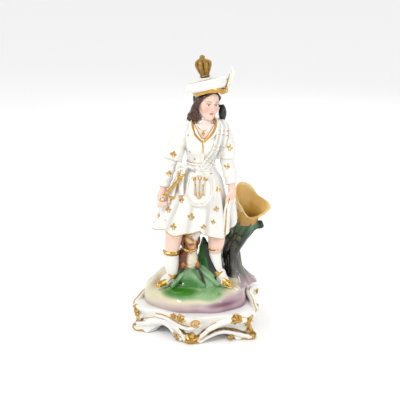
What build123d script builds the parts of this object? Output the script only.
from build123d import *
from math import cos, pi, radians, sin
import os

# Porcelain figure group: a standing figure in Highland-style dress with a hound and a tree-trunk
# spill vase, on a rocaille base. The figure is hollow and is a bottle: the ribbed finial over
# the hat is its stopper. Everything is in millimetres, with +Z up and the front towards -Y.
# Each casting is trimmed by the castings before it, so neighbours meet face to face.

# ---- Driving dimensions
BASE_HALF_WIDTH = 62.0
BASE_FRONT = 59.0
BASE_BACK = 47.0
RIM_HEIGHT = 27.0
ARCH_HEIGHT = 6.5
PLINTH_WALL = 5.0
GROUND = 44.5           # the soles of the shoes
HEM = 100.0
WAIST = 160.0
CHIN = 206.0
BRIM = 228.0            # underside of the hat
NECK_RIM = 242.5        # top of the bottle neck
STOPPER_HEIGHT = 20.5   # finial above the bottle neck
STOPPER_RADIUS = 8.2
STOPPER_LEAN = 8.0      # degrees, towards -X
FIGURE_TURN = 10.0      # the figure faces a little to its own left of the base
WALL = 3.2              # of the hollow figure
BORE_RADIUS = 3.1
BORE = (5.2, -1.0)      # the bottle's bore, straight down through hat, head and neck
CORK_RADIUS = 4.0
CORK_LENGTH = 5.5
CORK_WELL = 2.5         # room in the socket below the cork
SEAT = 0.5              # gap between the neck's rim and the finial
COLLAR_RADIUS = 6.6     # of the bottle neck
PLUG_RADIUS = 2.0
PLUG_LENGTH = 3.8        # below the neck's rim; clear of the hat
PLUG_ROOT = 1.0          # held inside the finial
FIT = 0.05              # radial clearance of the cork in the neck and of the plug in the cork
COLLAR_HEIGHT = 7.0
NECK_AT = (4.6, -1.0)   # middle of the bottle neck's rim
BORE_FOOT = 180.0       # the bore opens into the bodice's chamber here
PLEATS = 15
PLEAT_DEPTH = 0.035     # share of the skirt's radius at the hem
HEM_TILT = 7.0          # degrees; the skirt hangs lower on the figure's left
VASE_WALL = 2.4
MOUTH_RADII = (18.2, 17.5)
SPORRAN_LEAN = 23.0     # degrees from upright
SMALLEST = 1.0          # mm3; a trimmed crumb below this is not a piece
STANDING = (Align.CENTER, Align.CENTER, Align.MIN)

castings = {}
boxes = {}


# ---- Shapes
def outline(x, y, z, rx, ry, power=2.0, waves=0, depth=0.0, tilt=(0, 0)):
    """A closed level curve: an ellipse, squarer with a higher power, with waves round it."""
    count = 4 * waves if waves else 8
    points = []
    for i in range(count):
        turn = 2 * pi * i / count
        swell = 1 + depth * cos(waves * turn)
        across = abs(cos(turn)) ** (2 / power) * (1 if cos(turn) > 0 else -1)
        along = abs(sin(turn)) ** (2 / power) * (1 if sin(turn) > 0 else -1)
        points.append((rx * swell * across, ry * swell * along))
    plane = Plane((x, y, z)).rotated((tilt[0], tilt[1], 0))
    return plane * make_face(Spline(*points, periodic=True))


def stack(*sections, **options):
    """A closed form through level sections (x, y, z, rx, ry)."""
    return loft([outline(*section, **options) for section in sections])


def limb(*stations):
    """A round form through stations (x, y, z, radius), each square to the way the form runs."""
    discs = []
    for i, (x, y, z, radius) in enumerate(stations):
        before = Vector(*stations[max(i - 1, 0)][:3])
        after = Vector(*stations[min(i + 1, len(stations) - 1)][:3])
        plane = Plane((x, y, z), x_dir=(0, 1, 0.001), z_dir=after - before)
        discs.append(plane * Circle(radius))
    return loft(discs)


def egg(x, y, z, rx, ry, rz, tilt=(0, 0, 0)):
    """An ellipsoid."""
    return Location((x, y, z), tilt) * scale(Sphere(1), by=(rx, ry, rz))


def pad(x, y, z, rx, rz, thickness, slope=0.0):
    """A rounded oval plate that faces -Y and leans back by slope degrees."""
    plate = extrude(Ellipse(rx, rz), thickness / 2, both=True)
    plate = chamfer(plate.edges(), thickness * 0.3)
    return Location((x, y, z), (90 - slope, 0, 0)) * plate


def scroll(x, y, z, radius, thickness, start, sweep_angle, facing=0.0):
    """A C-scroll: an arc of a round bar, upright, facing -Y turned by facing degrees."""
    arc = CenterArc((0, 0), radius, start, sweep_angle)
    bar = sweep((arc ^ 0) * Circle(thickness), path=arc)
    return Pos(x, y, z) * Rot(0, 0, facing) * Rot(90, 0, 0) * bar


def mirrored(*shapes):
    """The shapes with their mirror images across X = 0."""
    return list(shapes) + [mirror(shape, about=Plane.YZ) for shape in shapes]


def touch(p, q):
    """Whether two bounding boxes overlap."""
    return (
        p.min.X < q.max.X and q.min.X < p.max.X
        and p.min.Y < q.max.Y and q.min.Y < p.max.Y
        and p.min.Z < q.max.Z and q.min.Z < p.max.Z
    )


def cast(name, *shapes, turned=True):
    """Add a casting of one or more solids, trimmed by the castings that are already there."""
    kept = []
    for shape in shapes:
        if turned:
            shape = shape.rotate(Axis.Z, FIGURE_TURN)
        room = shape.bounding_box()
        for other, casting in castings.items():
            if touch(room, boxes[other]):
                shape = shape - casting
        for earlier in kept:
            if touch(room, earlier.bounding_box()):
                shape = shape - earlier
        solids = sorted(shape.solids(), key=lambda solid: solid.volume)
        if solids and solids[-1].volume > SMALLEST:
            kept.append(solids[-1])
    castings[name] = Compound(kept) if len(kept) > 1 else kept[0]
    boxes[name] = castings[name].bounding_box()


# ---- Base
def plinth_section(grow, z):
    """The rocaille plan: lobes at the four corners and at the middle of the front and back."""
    half = [
        (0.0, -BASE_FRONT),
        (0.24, -BASE_FRONT * 0.90),
        (0.52, -BASE_FRONT * 0.76),
        (0.78, -BASE_FRONT * 0.74),
        (0.98, -BASE_FRONT * 0.60),
        (0.93, -BASE_FRONT * 0.30),
        (0.82, 0.0),
        (0.83, BASE_BACK * 0.45),
        (0.86, BASE_BACK * 0.76),
        (0.66, BASE_BACK * 0.84),
        (0.36, BASE_BACK * 0.84),
        (0.0, BASE_BACK),
    ]
    points = [(grow * BASE_HALF_WIDTH * u, grow * y) for u, y in half]
    points += [(-x, y) for x, y in reversed(points[1:-1])]
    return Pos(0, 0, z) * make_face(Spline(*points, periodic=True))


def make_plinth():
    profile = [(0.97, 0), (0.95, 6), (0.93, 14), (0.985, 22), (1.0, RIM_HEIGHT - 2), (0.96, RIM_HEIGHT)]
    body = loft([plinth_section(grow, z) for grow, z in profile])
    inside = 1 - PLINTH_WALL / BASE_BACK * 1.25
    hollow = loft([plinth_section(inside * grow, z) for grow, z in ((0.97, -1), (0.93, 12), (0.95, 20))])
    body -= hollow
    # arches between the scroll feet, cut through the wall
    for x, y, width, facing in ((29, -50, 34, 12), (57, -5, 36, 90), (27, 42, 30, -4)):
        for side in (1, -1):
            arch = Rot(90, 0, 0) * extrude(Ellipse(width / 2, ARCH_HEIGHT), 15, both=True)
            body -= Location((side * x, y, 0), (0, 0, side * facing)) * arch
    return body.solids().sort_by(SortBy.VOLUME)[-1]


def make_base():
    cast("rococo_plinth", make_plinth(), turned=False)
    front_corner = (BASE_HALF_WIDTH * 0.90, -BASE_FRONT * 0.60)
    back_corner = (BASE_HALF_WIDTH * 0.79, BASE_BACK * 0.73)
    cast(
        "corner_scrolls",
        *mirrored(
            scroll(*front_corner, 13, 6.5, 2.6, -150, 270, facing=-34),
            scroll(*back_corner, 13, 6.0, 2.4, -150, 270, facing=34),
        ),
        turned=False,
    )
    cast("front_volute", scroll(9, -BASE_FRONT * 0.95, 19, 4.2, 2.3, 20, 300, facing=14), turned=False)
    cast(
        "front_scrolls",
        scroll(-27, -BASE_FRONT * 0.83, 6, 15, 1.9, 35, 110, facing=-17),
        scroll(28, -BASE_FRONT * 0.83, 2, 16, 1.9, 40, 105, facing=17),
        turned=False,
    )
    cast(
        "side_shells",
        *mirrored(
            egg(BASE_HALF_WIDTH * 0.70, -BASE_FRONT * 0.72, RIM_HEIGHT - 1, 7, 4, 3.4, (0, 0, 12)),
            egg(BASE_HALF_WIDTH * 0.85, 2, RIM_HEIGHT - 1, 3.4, 7, 3.0),
        ),
        egg(0, BASE_BACK * 0.94, RIM_HEIGHT - 1, 8, 3.6, 3.4),
        turned=False,
    )
    mound = stack(
        (0, -2, RIM_HEIGHT - 1, 50, 43),
        (0, -2, RIM_HEIGHT + 6, 50, 43),
        (0, -2, RIM_HEIGHT + 13, 46, 38),
        (0, -1, GROUND, 40, 32),
        power=2.6,
    )
    cast("ground_mound", mound, turned=False)


# ---- Trunk and spill vase, in the figure's frame like everything below
VASE_FOOT = (44.0, 17.0, 97.0)
MOUTH = Vector(50.0, 15.5, 117.0)
MOUTH_NORMAL = Vector(0.468, -0.547, 0.693)


def vase_form(inset, foot_z, mouth_offset):
    """The trumpet between the trunk and its slanted mouth, smaller all round by inset."""
    foot = outline(VASE_FOOT[0], VASE_FOOT[1], foot_z, 12.5 - inset, 11.5 - inset)
    middle = outline(46, 17, 107, 13.2 - inset, 12.2 - inset)
    mouth_plane = Plane(MOUTH + MOUTH_NORMAL * mouth_offset, x_dir=(0.83, 0, -0.56), z_dir=MOUTH_NORMAL)
    count = 16
    turns = [2 * pi * i / count for i in range(count)]
    ring = [(MOUTH_RADII[0] * cos(turn), MOUTH_RADII[1] * sin(turn)) for turn in turns]
    shrink = 1 - inset / MOUTH_RADII[0]
    mouth = mouth_plane * make_face(Spline(*[(x * shrink, y * shrink) for x, y in ring], periodic=True))
    return loft([foot, middle, mouth])


def make_trunk():
    trunk = stack(
        (37, 9, GROUND - 9, 15, 13),
        (34, 11, GROUND + 2, 10.5, 10),
        (30, 13, 58, 8.6, 8.6),
        (31.5, 14, 70, 10, 9.5),
        (39, 16, 84, 12.5, 11.5),
        (VASE_FOOT[0], VASE_FOOT[1], VASE_FOOT[2], 14, 13),
    )
    well = stack((38, 15.5, 80, 5.5, 5.5), (44, 17, 90, 8, 8), (44.5, 17, 99, 9.6, 9))
    cast("tree_trunk", trunk - well)
    cast("branch_stub", limb((53, 15, 92, 4.2), (58, 14, 94.5, 3.6), (61, 13.5, 96, 3.9)))
    trumpet = vase_form(0, VASE_FOOT[2], 0) - vase_form(VASE_WALL, VASE_FOOT[2] - 1, 1.5)
    cast("spill_vase", trumpet)


# ---- Dress and torso
def skirt_form(inset, bottom, top, depth):
    """The pleated skirt between two heights, smaller all round by inset."""
    stations = [
        (1, -4, WAIST, 13, 11),
        (0, -5, 148, 20, 16),
        (-3, -6, 132, 28, 22),
        (-7, -6.5, 114, 33, 25.5),
        (-9.5, -6.5, HEM, 36, 27.5),
    ]
    sections = []
    for x, y, z, rx, ry in stations:
        spread = (WAIST - z) / (WAIST - HEM)
        level = top - (top - bottom) * spread
        tilt = (0, HEM_TILT * spread)
        wave = depth * spread
        sections.append(outline(x, y, level, rx - inset, ry - inset, waves=PLEATS, depth=wave, tilt=tilt))
    return loft(sections)


def make_torso():
    cast("skirt", skirt_form(0, HEM, WAIST, PLEAT_DEPTH) - skirt_form(WALL + 1.5, HEM + 8, WAIST + 0.1, 0))
    shell = stack(
        (1, -4, WAIST, 13, 11),
        (0.5, -4, 170, 15.5, 12.5),
        (2, -4, 182, 18, 13.5),
        (3, -3.5, 192, 18.5, 12.5),
        (3.5, -3, 199, 13, 9.5),
        (4, -3, 203, 8, 7),
    )
    chamber = stack(
        (1, -4, WAIST - 0.1, 13 - WALL - 1.5, 11 - WALL - 1.5),
        (0.5, -4, 170, 15.5 - WALL, 12.5 - WALL),
        (2.5, -3.5, 180, 12, 8),
        (BORE[0], BORE[1], 188, BORE_RADIUS + 0.3, BORE_RADIUS + 0.3),
    )
    bore = Pos(BORE[0], BORE[1], BORE_FOOT) * Cylinder(BORE_RADIUS, NECK_RIM - BORE_FOOT, align=STANDING)
    v_neck = extrude(Plane.XZ * make_face(Polyline((-8, 206), (16.5, 206), (2.4, 187), close=True)), 40)
    cast("neck_and_chest", make_neck() - bore)
    cast("bodice", shell - chamber - bore - v_neck)
    inner = stack(
        (1, -4, WAIST - 6, 18.2, 15.2),
        (1, -4, WAIST, 13.8, 11.8),
        (1, -4, WAIST + 6, 15.2, 12.9),
    )
    outer = stack(
        (1, -4, WAIST - 4.5, 19.4, 16.4),
        (1, -4, WAIST, 16.6, 14.4),
        (1, -4, WAIST + 5, 17.2, 14.6),
    )
    cast("waist_sash", outer - inner)
    return bore


def make_neck():
    x, y = BORE
    neck = limb((x + 1, y - 1.2, CHIN + 1.5, 5.2), (x, y - 1.2, 199, 5.6), (x - 0.7, y - 2, 194, 7.5))
    chest = stack((4, -4, 186, 8.5, 8.6), (3.8, -4, 193, 11, 9.6), (4, -3.6, 199, 8.5, 7.2))
    return neck + chest


def make_sleeves_and_hands():
    cast(
        "right_upper_sleeve",
        limb((-11, -1, 196, 7.5), (-18.5, -3, 186, 8.8), (-24, -6, 175, 9.6), (-26, -8, 167, 9.2)),
    )
    cast(
        "left_upper_sleeve",
        limb((19, -1, 194, 7.8), (24.5, -2, 185, 8.6), (25.5, -3, 175, 8.8), (24, -3.5, 166, 8)),
    )
    cast("right_lower_sleeve", limb((-27.5, -9, 166.5, 7.6), (-31, -12, 153, 6.6), (-34.2, -14.5, 142, 5.4)))
    cast("left_lower_sleeve", limb((24.5, -4, 165.5, 7.6), (28.3, -8, 153, 7), (29.3, -10.5, 144, 6.2)))
    cast("right_hand", limb((-34.2, -14.5, 143, 3.8), (-35, -17, 135, 5.6), (-36.8, -18.5, 126, 3.6)))
    cast("left_hand", limb((29.3, -10.5, 145, 3.8), (29.8, -13, 137, 5.6), (29.5, -14, 128.5, 3.8)))
    rod = limb((-34, -22.6, 134, 1.2), (-26, -22.8, 142, 1.1), (-18, -23, 151, 1.0))
    cast("pipe", rod + egg(-34.8, -22.6, 133, 2.8, 2.6, 2.8))


def make_trimmings():
    cast("collar", *[
        limb(
            (side * 10 + 4, -6, 203, 2.2),
            (side * 8.5 + 3.4, -13.5, 196, 2.2),
            (side * 1.8 + 2.4, -16.5, 187.5, 1.8),
        )
        for side in (-1, 1)
    ])
    cast(
        "placket",
        stack((2.6, -16.5, 172, 2.4, 1.8), (2.6, -17, 180, 2.4, 1.8), (2.4, -16.9, 187, 2.0, 1.6)),
    )
    sash = stack(
        (8, -14, 165, 7.5, 5),
        (16, -12.5, 178, 7.5, 5),
        (23, -5, 195, 6.5, 5.5),
        (19, -1, 200, 6, 4.5),
    )
    cast("shoulder_sash", sash)
    cast("sash_knot", limb((-12, -15.2, 163.2, 2.4), (-13.6, -16.2, 160.5, 3.6), (-15, -16.8, 157.6, 2.4)))
    tails = [
        limb((-15 - lean, -16, 158, 1.8), (-17.5 - lean, -18, 150, 2.6), (-18.5 - lean, -20.5, 141, 2.2))
        for lean in (0, 6)
    ]
    cast("sash_tails", *tails)
    cast("sporran", pad(-0.5, -24.5, 141.5, 12, 14.8, 5, slope=SPORRAN_LEAN))
    cast("sporran_tassels", *[limb((x, -29, 147, 1.3), (x * 1.2, -31.5, 137, 1.7)) for x in (-4, 0.5, 5)])
    drape = stack((25, -14, 97, 5, 8), (26, -12, 112, 5, 8), (28, -10, 128, 3.6, 6))
    cast("overskirt_drape", drape)


# ---- Legs
def shoe(heel, toe):
    """A soft slipper between a heel and a toe point on the ground."""
    middle = (heel + toe) / 2
    return limb(
        (heel.X, heel.Y, heel.Z + 3.0, 3.2),
        (middle.X, middle.Y, middle.Z + 4.0, 4.8),
        (toe.X * 0.75 + middle.X * 0.25, toe.Y * 0.75 + middle.Y * 0.25, toe.Z + 3.2, 4.4),
        (toe.X, toe.Y, toe.Z + 2.6, 2.4),
    )


def make_legs():
    cast("right_leg", limb((-25, -12, 106, 9), (-26.5, -14, 89, 7.8), (-27.6, -15.5, 77.5, 7.2)))
    cast("left_leg", limb((14.5, -7, 102, 9), (16.2, -11.5, 88, 9), (14.6, -12.5, 80, 6.8)))
    cast("right_stocking", limb((-27.6, -15.5, 77.5, 7.2), (-27.4, -15.5, 68, 6.9), (-27.4, -17, 52, 6.0)))
    cast("left_stocking", limb((14.6, -12.5, 80, 6.2), (15.2, -12.3, 71, 5.2), (18, -15, 54, 5.2)))
    cast("right_garter", limb((-27.4, -15.3, 79, 8.2), (-27.6, -15.5, 74.5, 8.1)))
    cast("left_garter", limb((14.9, -12.4, 82, 7.4), (14.7, -12.5, 77.5, 7.2)))
    cast("right_shoe_trim", limb((-27.4, -16.8, 54.5, 6.9), (-27.4, -17, 51.5, 6.8)))
    cast("left_shoe_trim", limb((17.2, -14.2, 59, 6.2), (17.8, -14.8, 55.5, 6.1)))
    cast("right_shoe", shoe(Vector(-24.5, -13, GROUND), Vector(-39, -31, GROUND)))
    cast("left_shoe", shoe(Vector(16.5, -13, GROUND), Vector(29, -29, GROUND)))


# ---- Head, hair and hat
def make_head(bore):
    head = stack(
        (7, -8, CHIN - 0.5, 3.4, 3.6),
        (7.1, -6.5, CHIN + 3, 6.2, 7.2),
        (7.3, -4.5, CHIN + 8, 8.2, 9.8),
        (7.5, -3.5, CHIN + 14, 8.8, 10.8),
        (7.5, -3, CHIN + 20, 8.2, 10.0),
        (7.5, -3, CHIN + 24, 6.4, 8.0),
    )
    nose = limb((7.1, -13.2, CHIN + 10, 1.6), (7.2, -13.0, CHIN + 15, 0.9))
    cast("head", head + nose - bore)
    cast(
        "hair_locks",
        limb((-1, -8, 226, 2.6), (-2.5, -7.5, 216, 3.6), (-7.5, -7, 209, 3.6), (-9.5, -7, 203.5, 2.0)),
        limb((0, -3, 220, 3.2), (-4, -4, 210, 4), (-6, -5, 202, 2.6)),
        limb((15.5, -8, 226, 2.6), (16.5, -7, 216, 3.2), (15.5, -5, 206, 2.6)),
        stack((7.5, 5, 202, 7, 4), (7.5, 6.5, 212, 8.8, 5), (7.5, 6, 224, 8.4, 5)),
    )
    cast("hair_bun", limb((18.5, 1, 215.5, 4.0), (20.5, 1, 209, 5.2), (21.5, 1, 202, 3.4)))
    cast(
        "necklace",
        limb((-1, -8, 200.5, 0.9), (2.5, -12, 198, 1.2), (6, -12, 198.5, 1.0), (10.5, -8, 200.5, 0.9)),
    )


def make_hat(bore):
    tilt = (0, -7)
    hat = loft([
        outline(8, -3, BRIM, 12, 11.5, tilt=tilt),
        outline(6.5, -1, BRIM + 4.5, 18.6, 17, tilt=tilt),
        outline(6, 0, BRIM + 8, 19.6, 18, tilt=tilt),
        outline(6.5, 0, BRIM + 10.5, 15.5, 14.5, tilt=tilt),
    ])
    depth = CORK_LENGTH + CORK_WELL
    socket = stopper_frame(-depth) * Cylinder(CORK_RADIUS + FIT, 2 * depth, align=STANDING)
    collar = stopper_frame(-COLLAR_HEIGHT) * Cylinder(COLLAR_RADIUS, COLLAR_HEIGHT, align=STANDING)
    cast("bottle_neck", collar - socket)
    cast("hat", hat - bore - socket)
    band = outline(8, -3, BRIM - 1.5, 12.6, 12.4, tilt=tilt)
    band_top = outline(8, -3, BRIM + 2.6, 14.6, 13.8, tilt=tilt)
    cast("hat_band", loft([band, band_top]) - bore, egg(23.5, -7, 230.5, 2.6, 2.2, 2.4))
    cast("plume", stack((24.5, -4, 230, 2, 3.2), (28.5, -2, 240, 3.4, 4.6), (29.5, -1, 250, 1.6, 2.2)))


def stopper_frame(height):
    """The leaning frame of the bottle neck, at a height along its axis above the neck's rim."""
    lean = radians(STOPPER_LEAN)
    root = Vector(NECK_AT[0], NECK_AT[1], NECK_RIM)
    axis = Vector(-sin(lean), 0, cos(lean))
    return Plane(root + axis * height, x_dir=(cos(lean), 0, sin(lean)), z_dir=axis)


def make_stopper():
    sleeve = Cylinder(CORK_RADIUS, CORK_LENGTH, align=STANDING)
    sleeve -= Cylinder(PLUG_RADIUS + FIT, CORK_LENGTH, align=STANDING)
    cast("cork_sleeve", stopper_frame(-CORK_LENGTH) * sleeve)
    plug = Cylinder(PLUG_RADIUS, PLUG_LENGTH + SEAT + PLUG_ROOT, align=STANDING)
    top = STOPPER_HEIGHT
    widest = STOPPER_RADIUS
    profile = [
        (SEAT, 4.6, 0),
        (0.1 * top, 4.2, 0),
        (0.22 * top, 5.0, 0.04),
        (0.48 * top, widest / 1.08, 0.08),
        (0.62 * top, widest * 0.84, 0.09),
        (0.78 * top, 2.9, 0.04),
    ]
    dome = loft([outline(0, 0, z, r, r, waves=8, depth=wave) for z, r, wave in profile])
    knob = egg(0, 0, 0.88 * top, 2.5, 2.5, 0.12 * top)
    finial = stopper_frame(0) * (dome + knob)
    cast("stopper", finial + stopper_frame(-PLUG_LENGTH) * plug)


# ---- Hound and planting
def make_hound():
    cast("hound_body", stack((-10, -9, 56, 9.5, 8), (-11, -10, 68, 10.3, 8.6), (-9.5, -13, 80, 7.6, 7)))
    cast("hound_collar", stack((-9.4, -13.6, 79, 7.8, 7.2), (-9, -14.4, 82, 7.2, 6.8)))
    skull = egg(-8.5, -16, 89, 7.2, 7.4, 7.4)
    muzzle = limb((-6, -18, 89, 5.0), (-2.5, -21, 93, 3.6), (-0.5, -23, 96, 2.4))
    cast("hound_head", skull + muzzle)
    cast(
        "hound_ears",
        limb((-14.6, -13, 92.5, 1.7), (-16.4, -13.6, 88, 2.4), (-16.8, -14.4, 83, 1.5)),
        limb((-2.4, -11.2, 92.5, 1.7), (-1.2, -10.6, 88, 2.4), (-1.4, -11, 83, 1.5)),
    )
    cast("hound_forelegs",
         limb((-15, -17, 68, 3.2), (-18.5, -20.5, 58, 2.2), (-20, -22.5, 50, 2.4)),
         limb((-4, -17, 68, 3.2), (1, -21.5, 58, 2.2), (4, -24.5, 50, 2.4)))


def make_planting():
    cast("grass_hillock", stack((-5, -7, GROUND - 2, 30, 19), (-6, -7, 52, 22, 14), (-7, -7, 60, 13, 9)))
    blades = []
    leaves = (
        ((9, -13, 44), (4, -3, 86), 6.5),
        ((13, -8, 44), (15, 4, 74), 5.5),
        ((1, -10, 50), (-1, -1, 76), 5),
    )
    for foot, tip, width in leaves:
        middle = [0.55 * low + 0.45 * high for low, high in zip(foot, tip)]
        blades.append(stack(
            (foot[0], foot[1], foot[2], width * 0.8, 3.0),
            (middle[0], middle[1] - 2, middle[2], width, 2.6),
            (tip[0], tip[1], tip[2], 1.2, 1.0),
        ))
    cast("leaf_blades", *blades)


# ---- Assembly
make_base()
make_trunk()
bottle_bore = make_torso()
make_sleeves_and_hands()
make_legs()
make_head(bottle_bore)
make_hat(bottle_bore)
make_stopper()
make_trimmings()
make_hound()
make_planting()

# the origin is the middle of the group's bounding box, on the surface it stands on
low = [min(getattr(box.min, axis) for box in boxes.values()) for axis in "XYZ"]
high = [max(getattr(box.max, axis) for box in boxes.values()) for axis in "XYZ"]
to_origin = Vector(-(low[0] + high[0]) / 2, -(low[1] + high[1]) / 2, -low[2])
os.makedirs("parts", exist_ok=True)
for name, casting in castings.items():
    export_step(Pos(to_origin) * casting, f"parts/{name}.step")

# the place and axis of both joints
axis_frame = stopper_frame(0)
pivot = axis_frame.origin.rotate(Axis.Z, FIGURE_TURN) + to_origin
direction = axis_frame.z_dir.rotate(Axis.Z, FIGURE_TURN)
print("group moved by", to_origin)
print("stopper axis through", pivot, "along", direction)
print("size", [top - bottom for top, bottom in zip(high, low)])
